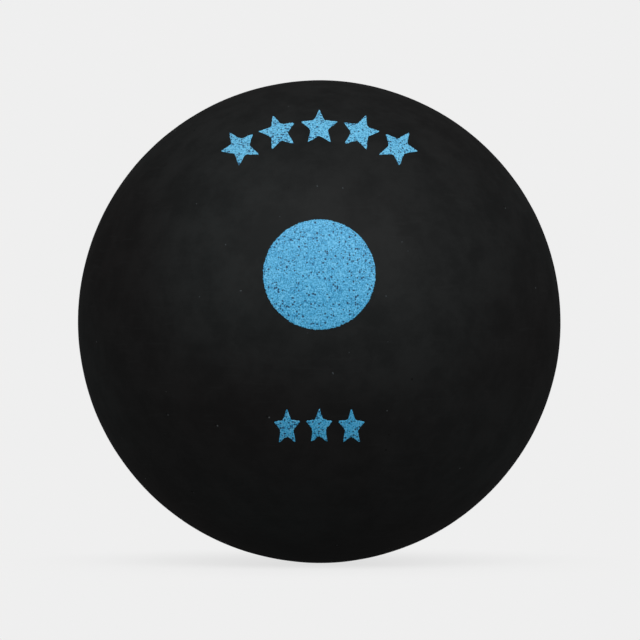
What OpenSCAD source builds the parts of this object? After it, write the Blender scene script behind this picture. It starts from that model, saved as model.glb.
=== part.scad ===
// Squash ball of the large beginners' size: two moulded rubber half shells, cemented
// rim to rim, buffed round and printed in one colour.
// The ball is drawn with its print at the pole on +Z and its seam on the equator, and is
// then laid as it was photographed: print towards -Y and a little upwards, +Z up.
// The origin is the centre of the ball.

/* [Ball] */
// Outside diameter of the buffed ball
ball_d = 45; // [40:0.5:46]
// Thickness of the rubber wall
wall_t = 4; // [3:0.1:5.5]
// Angle of the print's axis above the horizon, as the ball lies
print_tilt = 11; // [0:1:25]

/* [Seam] */
// Thickness of the cement film between the two rims
cement_t = 0.2; // [0.1:0.05:0.5]
// Width of the bevel round the inside edge of each rim
rim_bevel = 0.5; // [0.2:0.1:1]
// Height of the cement bead squeezed out into the cavity
bead_h = 0.6; // [0.3:0.1:1.2]
// Width of that bead along the cavity's wall
bead_w = 3.2; // [2.6:0.1:5]

/* [Print] */
// Thickness of the ink
ink_t = 0.03; // [0.02:0.01:0.1]
// Diameter of the speed dot at the pole
dot_d = 10; // [5:0.5:14]

/* [Upper stars] */
// Number of stars in the arc above the dot
upper_count = 5; // [3:1:6]
// Radius of a star, from its middle to a point
upper_star_r = 1.8; // [1:0.1:2]
// Distance from the middle of the dot to the middle of a star
upper_arc_r = 14.6; // [12:0.1:15]
// Gap between the side points of two neighbours
upper_gap = 0.3; // [0.2:0.1:1]

/* [Lower stars] */
// Number of stars in the row below the dot
lower_count = 3; // [1:1:5]
// Radius of a star, from its middle to a point
lower_star_r = 1.3; // [0.8:0.1:1.6]
// Distance from the middle of the dot down to the row
lower_drop = 13.1; // [11:0.1:15]
// Gap between the side points of two neighbours
lower_gap = 0.4; // [0.2:0.1:1]

/* [Hidden] */
$fn = 128;

ball_r = ball_d / 2;
cavity_r = ball_r - wall_t;
rim_z = cement_t / 2;
// How far a cut runs past what it cuts
overrun = 0.5;

star_points = 5;
// A star's notches lie at this share of its radius
notch_share = 0.45;
// Artwork is this much taller than wide, because the ball curves away above and below the dot
stretch_share = 1.2;

// Widest distance across a star that has one point straight up
function star_width(tip_r) = 2 * tip_r * cos(90 / star_points);

upper_pitch = 2 * asin((star_width(upper_star_r) + upper_gap) / (2 * upper_arc_r));
lower_pitch = star_width(lower_star_r) + lower_gap;

// The bead's round face passes through its crown and through both its edges on the cavity's wall
bead_crown_x = cavity_r - bead_h;
bead_edge_x = sqrt(pow(cavity_r, 2) - pow(bead_w / 2, 2));
bead_rise = bead_edge_x - bead_crown_x;
bead_face_r = (pow(bead_rise, 2) + pow(bead_w / 2, 2)) / (2 * bead_rise);

// Turns the ball from print up to print forward
module lay_down() {
    rotate([90 - print_tilt, 0, 0]) children();
}

// One half of the wall in section, from its flat rim up to the pole
module shell_section() {
    difference() {
        intersection() {
            circle(r = ball_r);
            translate([0, rim_z]) square(ball_r + overrun);
        }
        circle(r = cavity_r);
        rim_bevel_cut();
    }
}

// Triangle that takes the inside corner off the rim at 45 degrees
module rim_bevel_cut() {
    side = rim_bevel + 2 * overrun;
    translate([cavity_r - overrun, rim_z - overrun])
        polygon([[0, 0], [side, 0], [0, side]]);
}

// What the two rims leave free between them: the film, both bevels and the bead
module cement_section() {
    difference() {
        intersection() {
            circle(r = ball_r);
            union() {
                translate([cavity_r, -rim_z]) square([wall_t, cement_t]);
                translate([bead_crown_x + bead_face_r, 0]) circle(r = bead_face_r);
            }
        }
        shell_section();
        mirror([0, 1]) shell_section();
    }
}

// A flat mark pressed straight down onto the pole's side of the ball
module stamped() {
    intersection() {
        difference() {
            sphere(r = ball_r + ink_t);
            sphere(r = ball_r);
        }
        linear_extrude(height = ball_r + overrun) children();
    }
}

// A star with one point straight up
module star(tip_r) {
    step = 180 / star_points;
    polygon([
        for (i = [0 : 2 * star_points - 1])
            let (reach = tip_r * (i % 2 == 0 ? 1 : notch_share), turn = 90 + i * step)
                [reach * cos(turn), reach * sin(turn) * stretch_share]
    ]);
}

module front_half_shell() {
    color("#1d1e1f") lay_down() rotate_extrude() shell_section();
}

module back_half_shell() {
    color("#1d1e1f") lay_down() mirror([0, 0, 1]) rotate_extrude() shell_section();
}

module seam_cement() {
    color("#101111") lay_down() rotate_extrude() cement_section();
}

module speed_dot() {
    color("#4fa2cf") lay_down() stamped() circle(d = dot_d);
}

// Each star stands on the arc with a point away from the dot
module upper_stars() {
    color("#4fa2cf") lay_down()
        for (i = [0 : upper_count - 1])
            stamped()
                rotate(upper_pitch * (i - (upper_count - 1) / 2))
                    translate([0, upper_arc_r]) star(upper_star_r);
}

module lower_stars() {
    color("#4fa2cf") lay_down()
        for (i = [0 : lower_count - 1])
            stamped()
                translate([lower_pitch * (i - (lower_count - 1) / 2), -lower_drop]) star(lower_star_r);
}

front_half_shell();
back_half_shell();
seam_cement();
speed_dot();
upper_stars();
lower_stars();
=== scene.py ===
# Squash ball: two rubber half shells, the cemented seam between them, and a print in one colour.
import math

import bpy
import numpy as np
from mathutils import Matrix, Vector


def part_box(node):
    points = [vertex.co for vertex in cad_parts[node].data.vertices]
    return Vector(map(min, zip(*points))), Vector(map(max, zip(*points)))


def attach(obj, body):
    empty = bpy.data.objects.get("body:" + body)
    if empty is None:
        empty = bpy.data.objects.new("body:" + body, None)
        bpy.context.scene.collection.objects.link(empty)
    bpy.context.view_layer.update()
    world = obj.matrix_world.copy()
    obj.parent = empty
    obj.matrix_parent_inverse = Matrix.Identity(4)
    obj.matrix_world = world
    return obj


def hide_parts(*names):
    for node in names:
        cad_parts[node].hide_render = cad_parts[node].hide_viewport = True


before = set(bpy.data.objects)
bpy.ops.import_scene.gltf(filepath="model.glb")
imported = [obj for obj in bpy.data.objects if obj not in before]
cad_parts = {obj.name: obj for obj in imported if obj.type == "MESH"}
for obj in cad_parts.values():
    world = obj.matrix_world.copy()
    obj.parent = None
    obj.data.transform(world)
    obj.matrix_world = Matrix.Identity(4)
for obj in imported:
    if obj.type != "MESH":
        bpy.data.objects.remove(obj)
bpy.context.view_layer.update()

# The ball, in metres, as the frame holds it
MM = 0.001
BALL_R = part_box("back_half_shell")[1][0]
DOT_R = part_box("speed_dot")[1][0]
WALL_T = 4 * MM
CAVITY_R = BALL_R - WALL_T
PRINT_TILT = math.radians(11)

# The seam: each rim's height over the equator, its bevel inside and its rounding outside, how far the
# cement lies under the skin, and the bead in the cavity
RIM_Z = 0.1 * MM
RIM_BEVEL = 0.5 * MM
RIM_ROUND = 0.02 * MM
CEMENT_SUNK = 0.008 * MM
BEAD_H = 0.6 * MM
BEAD_W = 3.2 * MM

# The ink: its thickness, the width of its rounded edge, how far its underside lies in the skin, the
# distance between two rings of its mesh, and the number of stray specks
INK_T = 0.03 * MM
INK_EDGE_W = 0.05 * MM
INK_SUNK = 0.004 * MM
INK_RING_STEP = 0.2 * MM
SPECK_COUNT = 14

# The print, flat as on its printing plate
STAR_POINTS = 5
NOTCH_SHARE = 0.45
STRETCH_SHARE = 1.2
UPPER_COUNT = 5
UPPER_STAR_R = 1.8 * MM
UPPER_ARC_R = 14.6 * MM
UPPER_GAP = 0.3 * MM
LOWER_COUNT = 3
LOWER_STAR_R = 1.3 * MM
LOWER_DROP = 13.1 * MM
LOWER_GAP = 0.4 * MM

# The camera, which takes the ball's place in the picture from the photograph
PICTURE_PX = 640
BALL_CENTRE_PX = (319.26, 321.62)
BALL_RADIUS_PX = 241.5
CAMERA_DISTANCE = 0.45

BACKGROUND = "#EFEFEF"
FLOOR_R = 1.6


# Meshes

def waves(points, length, seed, count=40):
    """Smooth noise of about -1 to 1 at each point: plane waves of one length, added up, that run in
    random directions from random phases."""
    rng = np.random.default_rng(seed)
    ways = rng.normal(size=(count, 3))
    ways *= 2 * math.pi / length / np.linalg.norm(ways, axis=1, keepdims=True)
    phases = rng.uniform(0, 2 * math.pi, count)
    return np.cos(points @ ways.T + phases).sum(axis=1) / math.sqrt(2 * count)


def relief(points):
    """Height of the buffed skin over the true sphere: slow swells, shorter dents and a fine ripple, added
    up and then lowered, so that the highest places reach about as far as the sphere."""
    swells = 0.010 * MM * waves(points, 8 * MM, seed=11)
    dents = 0.004 * MM * waves(points, 2.6 * MM, seed=12)
    ripple = 0.0012 * MM * waves(points, 1.1 * MM, seed=13)
    return swells + dents + ripple - 0.014 * MM


def laid(points, half=1):
    """Turns points of the upright ball, whose pole is +Z, to where the ball lies: the pole goes towards -Y,
    raised by the print's tilt. half is -1 for the back half, which is first turned over about X."""
    right = np.array([1, 0, 0])
    up = half * np.array([0, math.sin(PRINT_TILT), math.cos(PRINT_TILT)])
    pole = half * np.array([0, -math.cos(PRINT_TILT), math.sin(PRINT_TILT)])
    return points @ np.stack([right, up, pole])


def piece(name, points, faces, material, nodes=()):
    """A smooth mesh that rides on the ball, stands for the nodes given and takes its finish from a slot."""
    mesh = bpy.data.meshes.new(name)
    mesh.from_pydata(points.tolist(), [], faces)
    mesh.shade_smooth()
    mesh.materials.append(material)
    thing = bpy.data.objects.new(name, mesh)
    bpy.context.scene.collection.objects.link(thing)
    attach(thing, "root")
    if nodes:
        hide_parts(*nodes)
    return thing


def note(thing, name, values):
    """Stores one number a point on a piece, which a material reads by the name."""
    numbers = thing.data.attributes.new(name, "FLOAT", "POINT")
    numbers.data.foreach_set("value", values)


def ring_quads(rows, count, first=0):
    """Quads between neighbouring rows of a grid whose rows are closed rings of count points."""
    row, place = np.meshgrid(np.arange(rows - 1), np.arange(count), indexing="ij")
    here = first + row * count + place
    beside = first + row * count + (place + 1) % count
    return np.stack([here, here + count, beside + count, beside], axis=-1).reshape(-1, 4)


def disc_grid(side):
    """A square grid of side by side points laid on the unit disc: each square round the middle becomes a
    circle, with the points of a square's edge spread evenly over a quarter of it."""
    a, b = np.meshgrid(np.linspace(-1, 1, side), np.linspace(-1, 1, side))
    wide = np.abs(a) >= np.abs(b)
    reach = np.where(wide, a, b)
    share = np.where(wide, b, a) / np.where(reach == 0, 1, reach)
    angle = np.where(wide, share * math.pi / 4, math.pi / 2 - share * math.pi / 4)
    return reach * np.cos(angle), reach * np.sin(angle)


def half_shell(name, half, node, material):
    """One half of the ball. Its skin is the disc grid wrapped on the sphere with equal areas: a point at
    distance d from the disc's middle comes to lie k d^2 radii below the sphere's pole, where k is what the
    disc's rim drops. Its inside is a profile turned about the pole: round edge, flat rim, bevel and cavity
    wall. The field noted on it gives the rubber's slow patches, which are in part dust and in part painted
    highlight and painted shade."""
    side = 241
    x, y = disc_grid(side)
    drop_share = 1 - (RIM_Z + RIM_ROUND) / BALL_R
    drop = drop_share * (x ** 2 + y ** 2)
    widening = np.sqrt(drop_share * (2 - drop))
    skin = np.stack([x * widening, y * widening, 1 - drop], axis=-1).reshape(-1, 3)
    skin *= (BALL_R + relief(BALL_R * laid(skin, half)))[:, None]

    grid = np.arange(side * side).reshape(side, side)
    skin_quads = np.stack([grid[:-1, :-1], grid[:-1, 1:], grid[1:, 1:], grid[1:, :-1]], axis=-1)
    border = np.concatenate([grid[0, :-1], grid[:-1, -1], grid[-1, :0:-1], grid[:0:-1, 0]])
    count = len(border)
    edge_r = np.hypot(skin[border, 0], skin[border, 1])
    turn = skin[border, :2] / edge_r[:, None]

    profile = []
    for angle in np.radians([30, 60, 90]):
        r = edge_r - RIM_ROUND * (1 - math.cos(angle))
        z = RIM_Z + RIM_ROUND * (1 - math.sin(angle))
        profile.append((r, z))
    profile.append((CAVITY_R + RIM_BEVEL, RIM_Z))
    bevel_rise = math.asin((RIM_Z + RIM_BEVEL) / CAVITY_R)
    rise = np.linspace(bevel_rise, math.pi / 2, 20)[:-1]
    profile += [(CAVITY_R * math.cos(angle), CAVITY_R * math.sin(angle)) for angle in rise]
    rows = [np.column_stack([r * turn[:, 0], r * turn[:, 1], np.full(count, z)]) for r, z in profile]

    first = side * side
    last = first + (len(rows) - 1) * count
    cavity_pole = last + count
    near = np.arange(count)
    far = (near + 1) % count
    edge_quads = np.stack([border[far], border, first + near, first + far], axis=-1)
    cap = np.stack([last + far, last + near, np.full(count, cavity_pole)], axis=-1)
    inside_quads = ring_quads(len(rows), count, first)
    points = laid(np.concatenate([skin, *rows, [[0, 0, CAVITY_R]]]), half)
    quads = np.concatenate([skin_quads.reshape(-1, 4), edge_quads, inside_quads])
    shell = piece(name, points, quads.tolist() + cap.tolist(), material, [node])
    # Slow patches: in part dust, in part painted highlight and painted shade that follow the lamps' light
    note(shell, "dust_and_painted_light", waves(points, 20 * MM, seed=3759))


def seam_cement(material):
    """The cured cement: its section turned about the pole, counter-clockwise from the outside of the film,
    which lies just under the skin. The bead's face is an arc through its crown, and its height wanders
    round the ball."""
    count = 720
    turn = np.linspace(0, 2 * math.pi, count, endpoint=False)
    circle = np.column_stack([np.cos(turn), np.sin(turn), np.zeros(count)])
    wander = 1 + 0.12 * waves(CAVITY_R * circle, 9 * MM, seed=21)
    bevel_top = RIM_Z + RIM_BEVEL
    edge_x = math.sqrt(CAVITY_R ** 2 - (BEAD_W / 2) ** 2)
    rise = edge_x - (CAVITY_R - BEAD_H)
    face_r = (rise ** 2 + (BEAD_W / 2) ** 2) / (2 * rise)
    swing = np.linspace(1, -1, 13) * math.asin(BEAD_W / 2 / face_r)
    film_r = BALL_R + relief(laid(BALL_R * circle)) - CEMENT_SUNK
    upper = [(film_r, RIM_Z), (CAVITY_R + RIM_BEVEL, RIM_Z),
             (math.sqrt(CAVITY_R ** 2 - bevel_top ** 2), bevel_top)]
    bead = [(edge_x + (face_r * (1 - math.cos(a)) - rise) * wander, face_r * math.sin(a)) for a in swing]
    section = upper + bead + [(r, -z) for r, z in reversed(upper)]
    rings = [np.column_stack([r * circle[:, 0], r * circle[:, 1], np.full(count, z)]) for r, z in section]
    # The last ring leads back to the first
    faces = ring_quads(len(rings) + 1, count) % (len(rings) * count)
    piece("seam_cement_ring", laid(np.concatenate(rings)), faces[:, ::-1].tolist(), material,
          ["seam_cement"])


def outline_of(corners, step=0.02 * MM, soft=0.15 * MM):
    """Points a step apart along a closed outline through the corners, whose corners an ink's flow has
    rounded: the outline is averaged with itself over a bell curve as wide as soft."""
    closed = np.vstack([corners, corners[:1]])
    lengths = np.hypot(*np.diff(closed, axis=0).T)
    along = np.concatenate([[0], np.cumsum(lengths)])
    count = 8 * round(along[-1] / step / 8)
    places = np.linspace(0, along[-1], count, endpoint=False)
    sharp = np.column_stack([np.interp(places, along, closed[:, axis]) for axis in (0, 1)])
    pitch = 2 * math.pi * np.fft.rfftfreq(count, along[-1] / count)
    bell = np.exp(-0.5 * (soft * pitch) ** 2)[:, None]
    return np.fft.irfft(np.fft.rfft(sharp, axis=0) * bell, n=count, axis=0)


def star_corners(tip_r):
    """A star with one point straight up: points and notches in turn, stretched upwards."""
    turn = math.pi / 2 + np.arange(2 * STAR_POINTS) * math.pi / STAR_POINTS
    reach = np.where(np.arange(2 * STAR_POINTS) % 2 == 0, tip_r, NOTCH_SHARE * tip_r)
    return np.column_stack([reach * np.cos(turn), STRETCH_SHARE * reach * np.sin(turn)])


def circle_corners(radius, count):
    """Points evenly round a circle, counter-clockwise."""
    turn = np.linspace(0, 2 * math.pi, count, endpoint=False)
    return radius * np.column_stack([np.cos(turn), np.sin(turn)])


def turned(flat, angle):
    """Flat points turned counter-clockwise about the print's middle."""
    c, s = math.cos(angle), math.sin(angle)
    return flat @ np.array([[c, s], [-s, c]])


def film(middle, outline, thick=INK_T, seed=31):
    """One ink mark as a closed film on the ball. A point of its top lies at a share of the way from the
    mark's middle to its outline, pressed along the pole's axis onto the skin and lifted by the ink, whose
    edge is a quarter of an ellipse. The outline is made ragged by two sizes of noise, less so where the
    mark's mean radius is under 0.4 mm, and the underside leads back to the middle inside the skin. Returns
    points, faces and each point's distance from the outline."""
    count = len(outline)
    reach = np.hypot(*(outline - middle).T)
    mean_r = reach.mean()
    flat3 = np.column_stack([outline, np.zeros(count)])
    ragged = 0.03 * MM * waves(flat3, 0.4 * MM, seed) + 0.035 * MM * waves(flat3, 0.16 * MM, seed + 1)
    ragged *= min(1, mean_r / (0.4 * MM))
    outline = middle + (outline - middle) * (1 + ragged / reach)[:, None]

    edge_w = min(INK_EDGE_W, mean_r / 2)
    inner = np.linspace(0, 1 - edge_w / mean_r, max(3, round(mean_r / INK_RING_STEP)))[1:]
    edge = 1 - edge_w / mean_r * np.array([0.6, 0.3, 0.1, 0])
    top = np.concatenate([inner, edge])
    below = np.linspace(1, 0, max(3, round(mean_r / (4 * INK_RING_STEP))) + 1)[:-1]
    depth = np.clip((1 - top) * mean_r / edge_w, 0, 1)
    lift = np.concatenate([thick * np.sqrt(1 - (1 - depth) ** 2), np.full(len(below), -INK_SUNK)])
    share = np.concatenate([top, below])

    flat = middle + share[:, None, None] * (outline - middle)
    flat = np.concatenate([flat.reshape(-1, 2), [middle, middle]])
    lift = np.concatenate([np.repeat(lift, count), [thick, -INK_SUNK]])
    shore = np.concatenate([np.outer(1 - share, reach).ravel(), [mean_r, mean_r]])
    drop = np.sqrt(BALL_R ** 2 - (flat ** 2).sum(axis=1))
    points = laid(np.column_stack([flat, drop]))
    points *= 1 + ((relief(points) + lift) / BALL_R)[:, None]

    near = np.arange(count)
    far = (near + 1) % count
    last = (len(share) - 1) * count
    top_cap = np.stack([np.full(count, len(flat) - 2), near, far], axis=-1)
    low_cap = np.stack([np.full(count, len(flat) - 1), last + far, last + near], axis=-1)
    faces = ring_quads(len(share), count).tolist() + top_cap.tolist() + low_cap.tolist()
    return points, faces, shore


def print_mark(name, films, material, nodes=()):
    """Joins films into one mark, with each point's distance from the film's edge, in millimetres, as the
    attribute from_edge."""
    points, faces, shore = [], [], []
    first = 0
    for part_points, part_faces, part_shore in films:
        points.append(part_points)
        faces += [[first + corner for corner in face] for face in part_faces]
        shore.append(part_shore)
        first += len(part_points)
    mark = piece(name, np.concatenate(points), faces, material, nodes)
    note(mark, "from_edge", np.concatenate(shore) / MM)


def star_width(tip_r):
    """Widest distance across a star that has one point straight up."""
    return 2 * tip_r * math.cos(math.pi / 2 / STAR_POINTS)


def upper_stars(material):
    """Stars on an arc round the dot's middle, each with a point away from it."""
    pitch = 2 * math.asin((star_width(UPPER_STAR_R) + UPPER_GAP) / (2 * UPPER_ARC_R))
    star = outline_of(star_corners(UPPER_STAR_R))
    films = []
    for i in range(UPPER_COUNT):
        angle = pitch * (i - (UPPER_COUNT - 1) / 2)
        middle = turned(np.array([0, UPPER_ARC_R]), angle)
        films.append(film(middle, turned(star + [0, UPPER_ARC_R], angle), seed=41 + 2 * i))
    print_mark("upper_star_print", films, material, ["upper_stars"])


def lower_stars(material):
    """A level row of smaller stars under the dot."""
    pitch = star_width(LOWER_STAR_R) + LOWER_GAP
    star = outline_of(star_corners(LOWER_STAR_R))
    films = []
    for i in range(LOWER_COUNT):
        middle = np.array([pitch * (i - (LOWER_COUNT - 1) / 2), -LOWER_DROP])
        films.append(film(middle, star + middle, seed=61 + 2 * i))
    print_mark("lower_star_print", films, material, ["lower_stars"])


def speed_dot(material):
    """The round dot at the print's middle."""
    outline = circle_corners(DOT_R, 1400)
    print_mark("speed_dot_print", [film(np.zeros(2), outline)], material, ["speed_dot"])


def ink_spatter(material):
    """Specks of ink that dried on the printing pad and came off beside the marks: small oval films strewn
    between the dot and the stars."""
    rng = np.random.default_rng(71)
    films = []
    for i in range(SPECK_COUNT):
        way = rng.uniform(0, 2 * math.pi)
        middle = rng.uniform(1.05, 2.2) * DOT_R * np.array([math.cos(way), math.sin(way)])
        speck = circle_corners(rng.uniform(0.02, 0.06) * MM, 12) * [1, rng.uniform(1, 2)]
        outline = middle + turned(speck, rng.uniform(0, math.pi))
        films.append(film(middle, outline, 0.4 * INK_T, seed=81 + 2 * i))
    print_mark("ink_spatter", films, material)


# Materials

def linear(hex_colour):
    """An sRGB hex colour as linear red, green, blue and alpha."""
    levels = np.array([int(hex_colour[i:i + 2], 16) for i in (1, 3, 5)]) / 255
    bent = np.where(levels <= 0.04045, levels / 12.92, ((levels + 0.055) / 1.055) ** 2.4)
    return (*bent.tolist(), 1)


def new_material(name):
    """An empty node material, with its tree and output."""
    material = bpy.data.materials.new(name)
    material.use_nodes = True
    material.node_tree.nodes.clear()
    return material, material.node_tree, material.node_tree.nodes.new("ShaderNodeOutputMaterial")


def add(tree, kind, settings=None, **inputs):
    """Adds a node, with its settings, and fills its inputs: from a socket by a link, otherwise by value.
    An input is named as on the node, with _ for a space, or by its number after in_."""
    node = tree.nodes.new("ShaderNode" + kind)
    for key, value in (settings or {}).items():
        setattr(node, key, value)
    for key, value in inputs.items():
        socket = node.inputs[int(key[3:])] if key.startswith("in_") else node.inputs[key.replace("_", " ")]
        if isinstance(value, bpy.types.NodeSocket):
            tree.links.new(value, socket)
        else:
            socket.default_value = value
    return node


def mixed(tree, factor, colour_a, colour_b):
    """Colour a turning to colour b as the factor goes from 0 to 1."""
    blend = add(tree, "Mix", {"data_type": "RGBA"}, in_0=factor, in_6=colour_a, in_7=colour_b)
    return blend.outputs[2]


def spread(tree, value, low, high, to_low=0.0, to_high=1.0):
    """A value spread smoothly from one range to another, and held inside it."""
    step = add(tree, "MapRange", {"interpolation_type": "SMOOTHSTEP"}, in_0=value, in_1=low, in_2=high,
               in_3=to_low, in_4=to_high)
    return step.outputs[0]


def butyl_rubber():
    """Butyl rubber filled with carbon black, moulded, then buffed with fine grit. The eye sees a deep black,
    a little paler and colder in slow patches that are in part dust and in part painted highlight and
    painted shade, with a broad dim sheen and no sharp reflection."""
    material, tree, output = new_material("buffed_butyl_rubber")
    place = add(tree, "TexCoord").outputs["Object"]
    # Slow patches, about 10 mm across: in part dust that hands and walls have rubbed off, in part painted
    # highlight where they are pale and painted shade where they are dark
    dust_and_painted_light = add(tree, "Attribute", {"attribute_name": "dust_and_painted_light"}).outputs["Fac"]
    # Smaller patches, left by the mould, are 1 to 4 mm across
    patch = add(tree, "TexNoise", {}, Vector=place, Scale=1 / (3.6 * MM), Detail=4.0, Roughness=0.68)
    # Scuffs from the buffing drum run a few millimetres in one direction and are a few tenths wide
    along = add(tree, "Mapping", {}, Vector=place, Rotation=(0.3, 0.25, 0.1), Scale=(1, 1, 9)).outputs[0]
    scuff = add(tree, "TexNoise", {}, Vector=along, Scale=1 / (4 * MM), Detail=2.0, Roughness=0.6)
    # Real grit is about 0.05 mm: it is drawn three times as coarse, so that a picture can show it
    grit = add(tree, "TexNoise", {}, Vector=place, Scale=1 / (0.15 * MM), Detail=2.0, Roughness=0.6)
    # One cell in a few holds a fleck of pale dust, about 0.1 mm across
    cells = add(tree, "TexVoronoi", {}, Vector=place, Scale=1 / (2.2 * MM))
    chance = add(tree, "SeparateColor", {}, Color=cells.outputs["Color"]).outputs[0]
    picked = add(tree, "Math", {"operation": "GREATER_THAN"}, in_0=chance, in_1=0.72).outputs[0]
    speck = spread(tree, cells.outputs["Distance"], 0.02, 0.045, 0.5, 0.0)
    fleck = add(tree, "Math", {"operation": "MULTIPLY"}, in_0=speck, in_1=picked).outputs[0]
    # Each fleck has a dark spot about 0.2 mm across to one side of it: a painted shadow of the fleck
    from_fleck = add(tree, "VectorMath", {"operation": "SUBTRACT"}, in_0=place,
                     in_1=cells.outputs["Position"]).outputs[0]
    aside = add(tree, "VectorMath", {"operation": "DISTANCE"}, in_0=from_fleck,
                in_1=(-0.2 * MM, 0, 0.08 * MM)).outputs["Value"]
    shadow_falloff = spread(tree, aside, 0.06 * MM, 0.16 * MM, 0.8, 0.0)
    fleck_shadow = add(tree, "Math", {"operation": "MULTIPLY"}, in_0=shadow_falloff, in_1=picked).outputs[0]

    in_patch = spread(tree, patch.outputs[0], 0.33, 0.67)
    deep = mixed(tree, in_patch, linear("#131212"), linear("#1A1919"))
    # The pale, colder pair is dust and, in part, a painted highlight with its cold tint
    dust_and_painted_highlight = mixed(tree, in_patch, linear("#1A1C1C"), linear("#232525"))
    black = mixed(tree, spread(tree, dust_and_painted_light, -1.6, 1.6), deep, dust_and_painted_highlight)
    scuffed = mixed(tree, spread(tree, scuff.outputs[0], 0.58, 0.75, 0.0, 0.25), black, linear("#262727"))
    grained = mixed(tree, spread(tree, grit.outputs[0], 0.3, 0.7, 0.0, 0.12), scuffed, linear("#151515"))
    # A painted shadow beside each fleck
    fleck_shadowed = mixed(tree, fleck_shadow, grained, linear("#070707"))
    dusty = mixed(tree, fleck, fleck_shadowed, linear("#7E8486"))
    dull = spread(tree, patch.outputs[0], 0.3, 0.7, 0.92, 0.82)
    bump = add(tree, "Bump", {}, Height=grit.outputs[0], Strength=0.2, Distance=0.02 * MM)
    skin = add(tree, "BsdfPrincipled", {}, Base_Color=dusty, Roughness=dull, IOR=1.52,
               Normal=bump.outputs[0])
    # A thin dust of loose carbon black, whose index is about 2.2, gives the dim broad sheen on its own
    skin.inputs["Specular IOR Level"].default_value = 0.0
    skin.inputs["Coat Weight"].default_value = 0.03
    skin.inputs["Coat Roughness"].default_value = 0.5
    skin.inputs["Coat IOR"].default_value = 2.2
    tree.links.new(skin.outputs[0], output.inputs["Surface"])
    return material


def rubber_cement():
    """Vulcanising rubber solution, brushed on and cured under pressure. Buffed flush outside, it is a touch
    blacker and smoother than the rubber, so that it shows as a hairline."""
    material, tree, output = new_material("cured_rubber_cement")
    place = add(tree, "TexCoord").outputs["Object"]
    streak = add(tree, "TexNoise", {}, Vector=place, Scale=1 / (1.5 * MM), Detail=3.0)
    black = mixed(tree, streak.outputs[0], linear("#101111"), linear("#181919"))
    cement = add(tree, "BsdfPrincipled", {}, Base_Color=black, Roughness=0.5, IOR=1.52)
    # The same dust of carbon black lies on it
    cement.inputs["Specular IOR Level"].default_value = 0.0
    cement.inputs["Coat Weight"].default_value = 0.03
    cement.inputs["Coat Roughness"].default_value = 0.4
    cement.inputs["Coat IOR"].default_value = 2.2
    tree.links.new(cement.outputs[0], output.inputs["Surface"])
    return material


def printing_ink():
    """Flexible one-colour ink, laid on by a domed silicone pad. It wets the buffed rubber badly, so the eye
    sees an even, soft blue, finely mottled where the ink lies thin or thick, with painted glints on the
    thick places, peppered with pinholes, and made paler towards the upper marks by a painted sheen."""
    material, tree, output = new_material("pad_printed_ink")
    place = add(tree, "TexCoord").outputs["Object"]
    height = add(tree, "SeparateXYZ", {}, Vector=place).outputs["Z"]
    from_edge = add(tree, "Attribute", {"attribute_name": "from_edge"}).outputs["Fac"]
    # Pinholes of about 0.1 mm, 0.2 mm apart: rarer just inside an edge, where the ink piles up, and more of
    # them far from the print's middle, where the dome presses less
    pole = laid(np.array([0, 0, BALL_R]))
    off_middle = add(tree, "VectorMath", {"operation": "DISTANCE"}, in_0=place, in_1=pole).outputs["Value"]
    pressed_less = spread(tree, off_middle, 5 * MM, 12 * MM, 1.0, 1.16)
    inside = spread(tree, from_edge, 0.02, 0.15, 0.85, 1.0)
    opened = add(tree, "Math", {"operation": "MULTIPLY"}, in_0=pressed_less, in_1=inside).outputs[0]
    cells = add(tree, "TexVoronoi", {}, Vector=place, Scale=1 / (0.18 * MM))
    chance = add(tree, "SeparateColor", {}, Color=cells.outputs["Color"]).outputs[0]
    open_share = add(tree, "Math", {"operation": "MULTIPLY"}, in_0=chance, in_1=opened).outputs[0]
    hole_r = spread(tree, open_share, 0.6, 1.0, -0.25, 0.65)
    from_middle = cells.outputs["Distance"]
    gap = add(tree, "Math", {"operation": "SUBTRACT"}, in_0=from_middle, in_1=hole_r).outputs[0]
    hole = spread(tree, gap, -0.2, 0.06, 0.95, 0.0)
    # Thin places and thick ones, a tenth of a millimetre or two across, over a slower drift. The thick ones
    # are painted pale, in part as painted glints of light on the ink's bumps
    grain = add(tree, "TexNoise", {}, Vector=place, Scale=1 / (0.13 * MM), Detail=1.0, Roughness=0.5)
    drift = add(tree, "TexNoise", {}, Vector=place, Scale=1 / (1.5 * MM), Detail=2.0)

    even = mixed(tree, spread(tree, drift.outputs[0], 0.35, 0.65), linear("#48ABDC"), linear("#53B5E5"))
    # A painted sheen turns the ink paler towards the upper marks, and it turns brighter and deeper in colour
    # towards the lower ones
    deepened = mixed(tree, spread(tree, height, -4 * MM, -11 * MM), even, linear("#47C0F6"))
    blue = mixed(tree, spread(tree, height, 7 * MM, 15 * MM), deepened, linear("#69BDE4"))
    thin_share = spread(tree, grain.outputs[0], 0.5, 0.68, 0.0, 0.9)
    laid_thin = mixed(tree, thin_share, blue, linear("#1E7CAD"))
    # Painted glints: the thick places turn pale, as if caught by the light
    thick_and_glint_share = spread(tree, grain.outputs[0], 0.5, 0.34, 0.0, 0.8)
    thick_ink_and_glints = mixed(tree, thick_and_glint_share, laid_thin, linear("#7CD2FA"))
    pinned = mixed(tree, hole, thick_ink_and_glints, linear("#003458"))
    bump = add(tree, "Bump", {"invert": True}, Height=hole, Strength=0.5, Distance=0.02 * MM)
    ink = add(tree, "BsdfPrincipled", {}, Base_Color=pinned, Roughness=0.5, IOR=1.48,
              Normal=bump.outputs[0])
    ink.inputs["Specular IOR Level"].default_value = 0.3
    tree.links.new(ink.outputs[0], output.inputs["Surface"])
    return material


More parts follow.
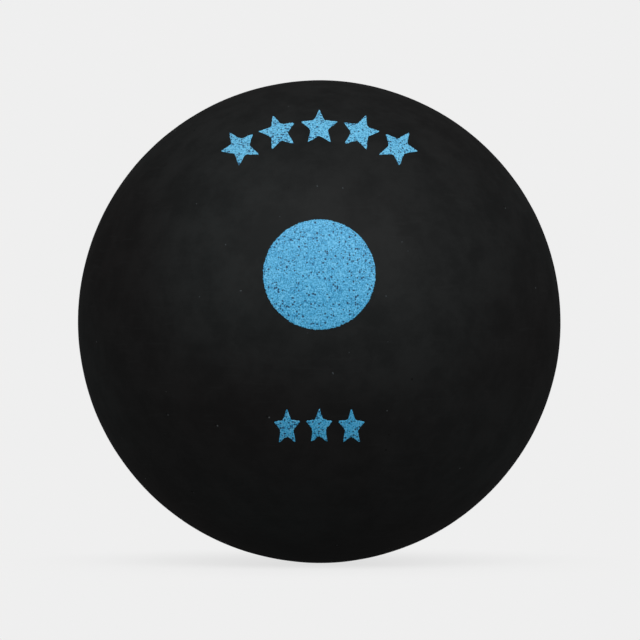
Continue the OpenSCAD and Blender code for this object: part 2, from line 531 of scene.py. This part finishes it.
def dried_ink():
    """The same ink in dried specks, dulled by the rubber's own black dust to a dim grey."""
    material, tree, output = new_material("dried_ink_speck")
    place = add(tree, "TexCoord").outputs["Object"]
    dust = add(tree, "TexNoise", {}, Vector=place, Scale=1 / (0.3 * MM), Detail=2.0)
    grey = mixed(tree, spread(tree, dust.outputs[0], 0.35, 0.65), linear("#353B3E"), linear("#4F5658"))
    speck = add(tree, "BsdfPrincipled", {}, Base_Color=grey, Roughness=0.8, IOR=1.48)
    speck.inputs["Specular IOR Level"].default_value = 0.1
    tree.links.new(speck.outputs[0], output.inputs["Surface"])
    return material


# Stage, light and camera

def background_rays(tree):
    """1 for the rays that meet the background as a picture: camera, glossy and transmission rays."""
    rays = add(tree, "LightPath")
    seen = add(tree, "Math", {"operation": "MAXIMUM"}, in_0=rays.outputs["Is Camera Ray"],
               in_1=rays.outputs["Is Glossy Ray"])
    return add(tree, "Math", {"operation": "MAXIMUM"}, in_0=seen.outputs[0],
               in_1=rays.outputs["Is Transmission Ray"]).outputs[0]


def floor():
    """A pale floor. To the camera it has the background's colour, in part by its own light and, near the
    ball, in part by the lamps' light, which is what the ball's shadow takes away."""
    material, tree, output = new_material("pale_floor")
    place = add(tree, "TexCoord").outputs["Object"]
    away = add(tree, "VectorMath", {"operation": "LENGTH"}, in_0=place).outputs["Value"]
    # A sixth of it is lit where the ball stands, and nothing 40 mm from the ball's middle
    lit_share = spread(tree, away, 6 * MM, 40 * MM, 0.32, 0.0)
    plain = add(tree, "BsdfDiffuse", {}, Color=linear("#808080"))
    glow = add(tree, "Emission", {}, Color=linear(BACKGROUND), Strength=1.0)
    lit = add(tree, "BsdfDiffuse", {}, Color=(1, 1, 1, 1))
    picture = add(tree, "MixShader", {}, in_0=lit_share, in_1=glow.outputs[0], in_2=lit.outputs[0])
    surface = add(tree, "MixShader", {}, in_0=background_rays(tree), in_1=plain.outputs[0],
                  in_2=picture.outputs[0])
    tree.links.new(surface.outputs[0], output.inputs["Surface"])

    corners = circle_corners(FLOOR_R, 96)
    mesh = bpy.data.meshes.new("floor")
    mesh.from_pydata([(x, y, -BALL_R) for x, y in corners], [], [list(range(len(corners)))])
    mesh.materials.append(material)
    ground = bpy.data.objects.new("floor", mesh)
    bpy.context.scene.collection.objects.link(ground)


def surroundings():
    """The world: the background's colour where it is seen, and a dim even light everywhere else."""
    world = bpy.data.worlds.new("studio")
    bpy.context.scene.world = world
    world.use_nodes = True
    tree = world.node_tree
    tree.nodes.clear()
    dim = add(tree, "Background", {}, Color=(1, 1, 1, 1), Strength=0.12)
    seen = add(tree, "Background", {}, Color=linear(BACKGROUND), Strength=1.0)
    sky = add(tree, "MixShader", {}, in_0=background_rays(tree), in_1=dim.outputs[0], in_2=seen.outputs[0])
    tree.links.new(sky.outputs[0], add(tree, "OutputWorld").inputs["Surface"])


def softbox(name, azimuth, elevation, distance, size, watts):
    """A rectangular lamp that faces the ball, placed by two angles in degrees and a distance in metres.
    Azimuth 0 is the camera's side, and 90 the right-hand side."""
    lamp = bpy.data.lights.new(name, "AREA")
    lamp.shape = "RECTANGLE"
    lamp.size, lamp.size_y = size
    lamp.energy = watts
    thing = bpy.data.objects.new(name, lamp)
    bpy.context.scene.collection.objects.link(thing)
    a, e = math.radians(azimuth), math.radians(elevation)
    thing.location = (distance * math.sin(a) * math.cos(e), -distance * math.cos(a) * math.cos(e),
                      distance * math.sin(e))
    thing.rotation_euler = (math.pi / 2 - e, 0, a)
    return thing


def camera():
    """A long lens level with the ball, which draws the ball's outline as large as in the photograph."""
    lens = bpy.data.cameras.new("camera")
    half_angle = math.asin(BALL_R / CAMERA_DISTANCE)
    lens.sensor_width = 36
    lens.lens = lens.sensor_width * BALL_RADIUS_PX / PICTURE_PX / math.tan(half_angle)
    lens.shift_x = (PICTURE_PX / 2 - BALL_CENTRE_PX[0]) / PICTURE_PX
    lens.shift_y = (BALL_CENTRE_PX[1] - PICTURE_PX / 2) / PICTURE_PX
    lens.clip_start, lens.clip_end = 0.01, 10
    thing = bpy.data.objects.new("camera", lens)
    bpy.context.scene.collection.objects.link(thing)
    thing.location = (0, -CAMERA_DISTANCE, 0)
    thing.rotation_euler = (math.pi / 2, 0, 0)
    bpy.context.scene.camera = thing


def build():
    """Puts the camera, stage, lights and the ball's pieces into the scene."""
    camera()
    surroundings()
    floor()
    softbox("top_softbox", 0, 50, 1.0, (0.7, 0.5), 3.4)
    softbox("right_softbox", 33, 33, 1.0, (0.5, 0.6), 3.3)
    softbox("left_softbox", -30, 35, 1.0, (0.5, 0.6), 2.4)
    back = softbox("back_softbox", 180, 8, 1.0, (0.8, 0.2), 5.0)
    # The lamp behind only fills in the far side, so the rim keeps its plain dark edge
    back.visible_glossy = False

    rubber = butyl_rubber()
    ink = printing_ink()
    half_shell("front_rubber_half", 1, "front_half_shell", rubber)
    half_shell("back_rubber_half", -1, "back_half_shell", rubber)
    seam_cement(rubber_cement())
    speed_dot(ink)
    upper_stars(ink)
    lower_stars(ink)
    ink_spatter(dried_ink())

    bpy.context.scene.view_settings.view_transform = "Standard"


build()
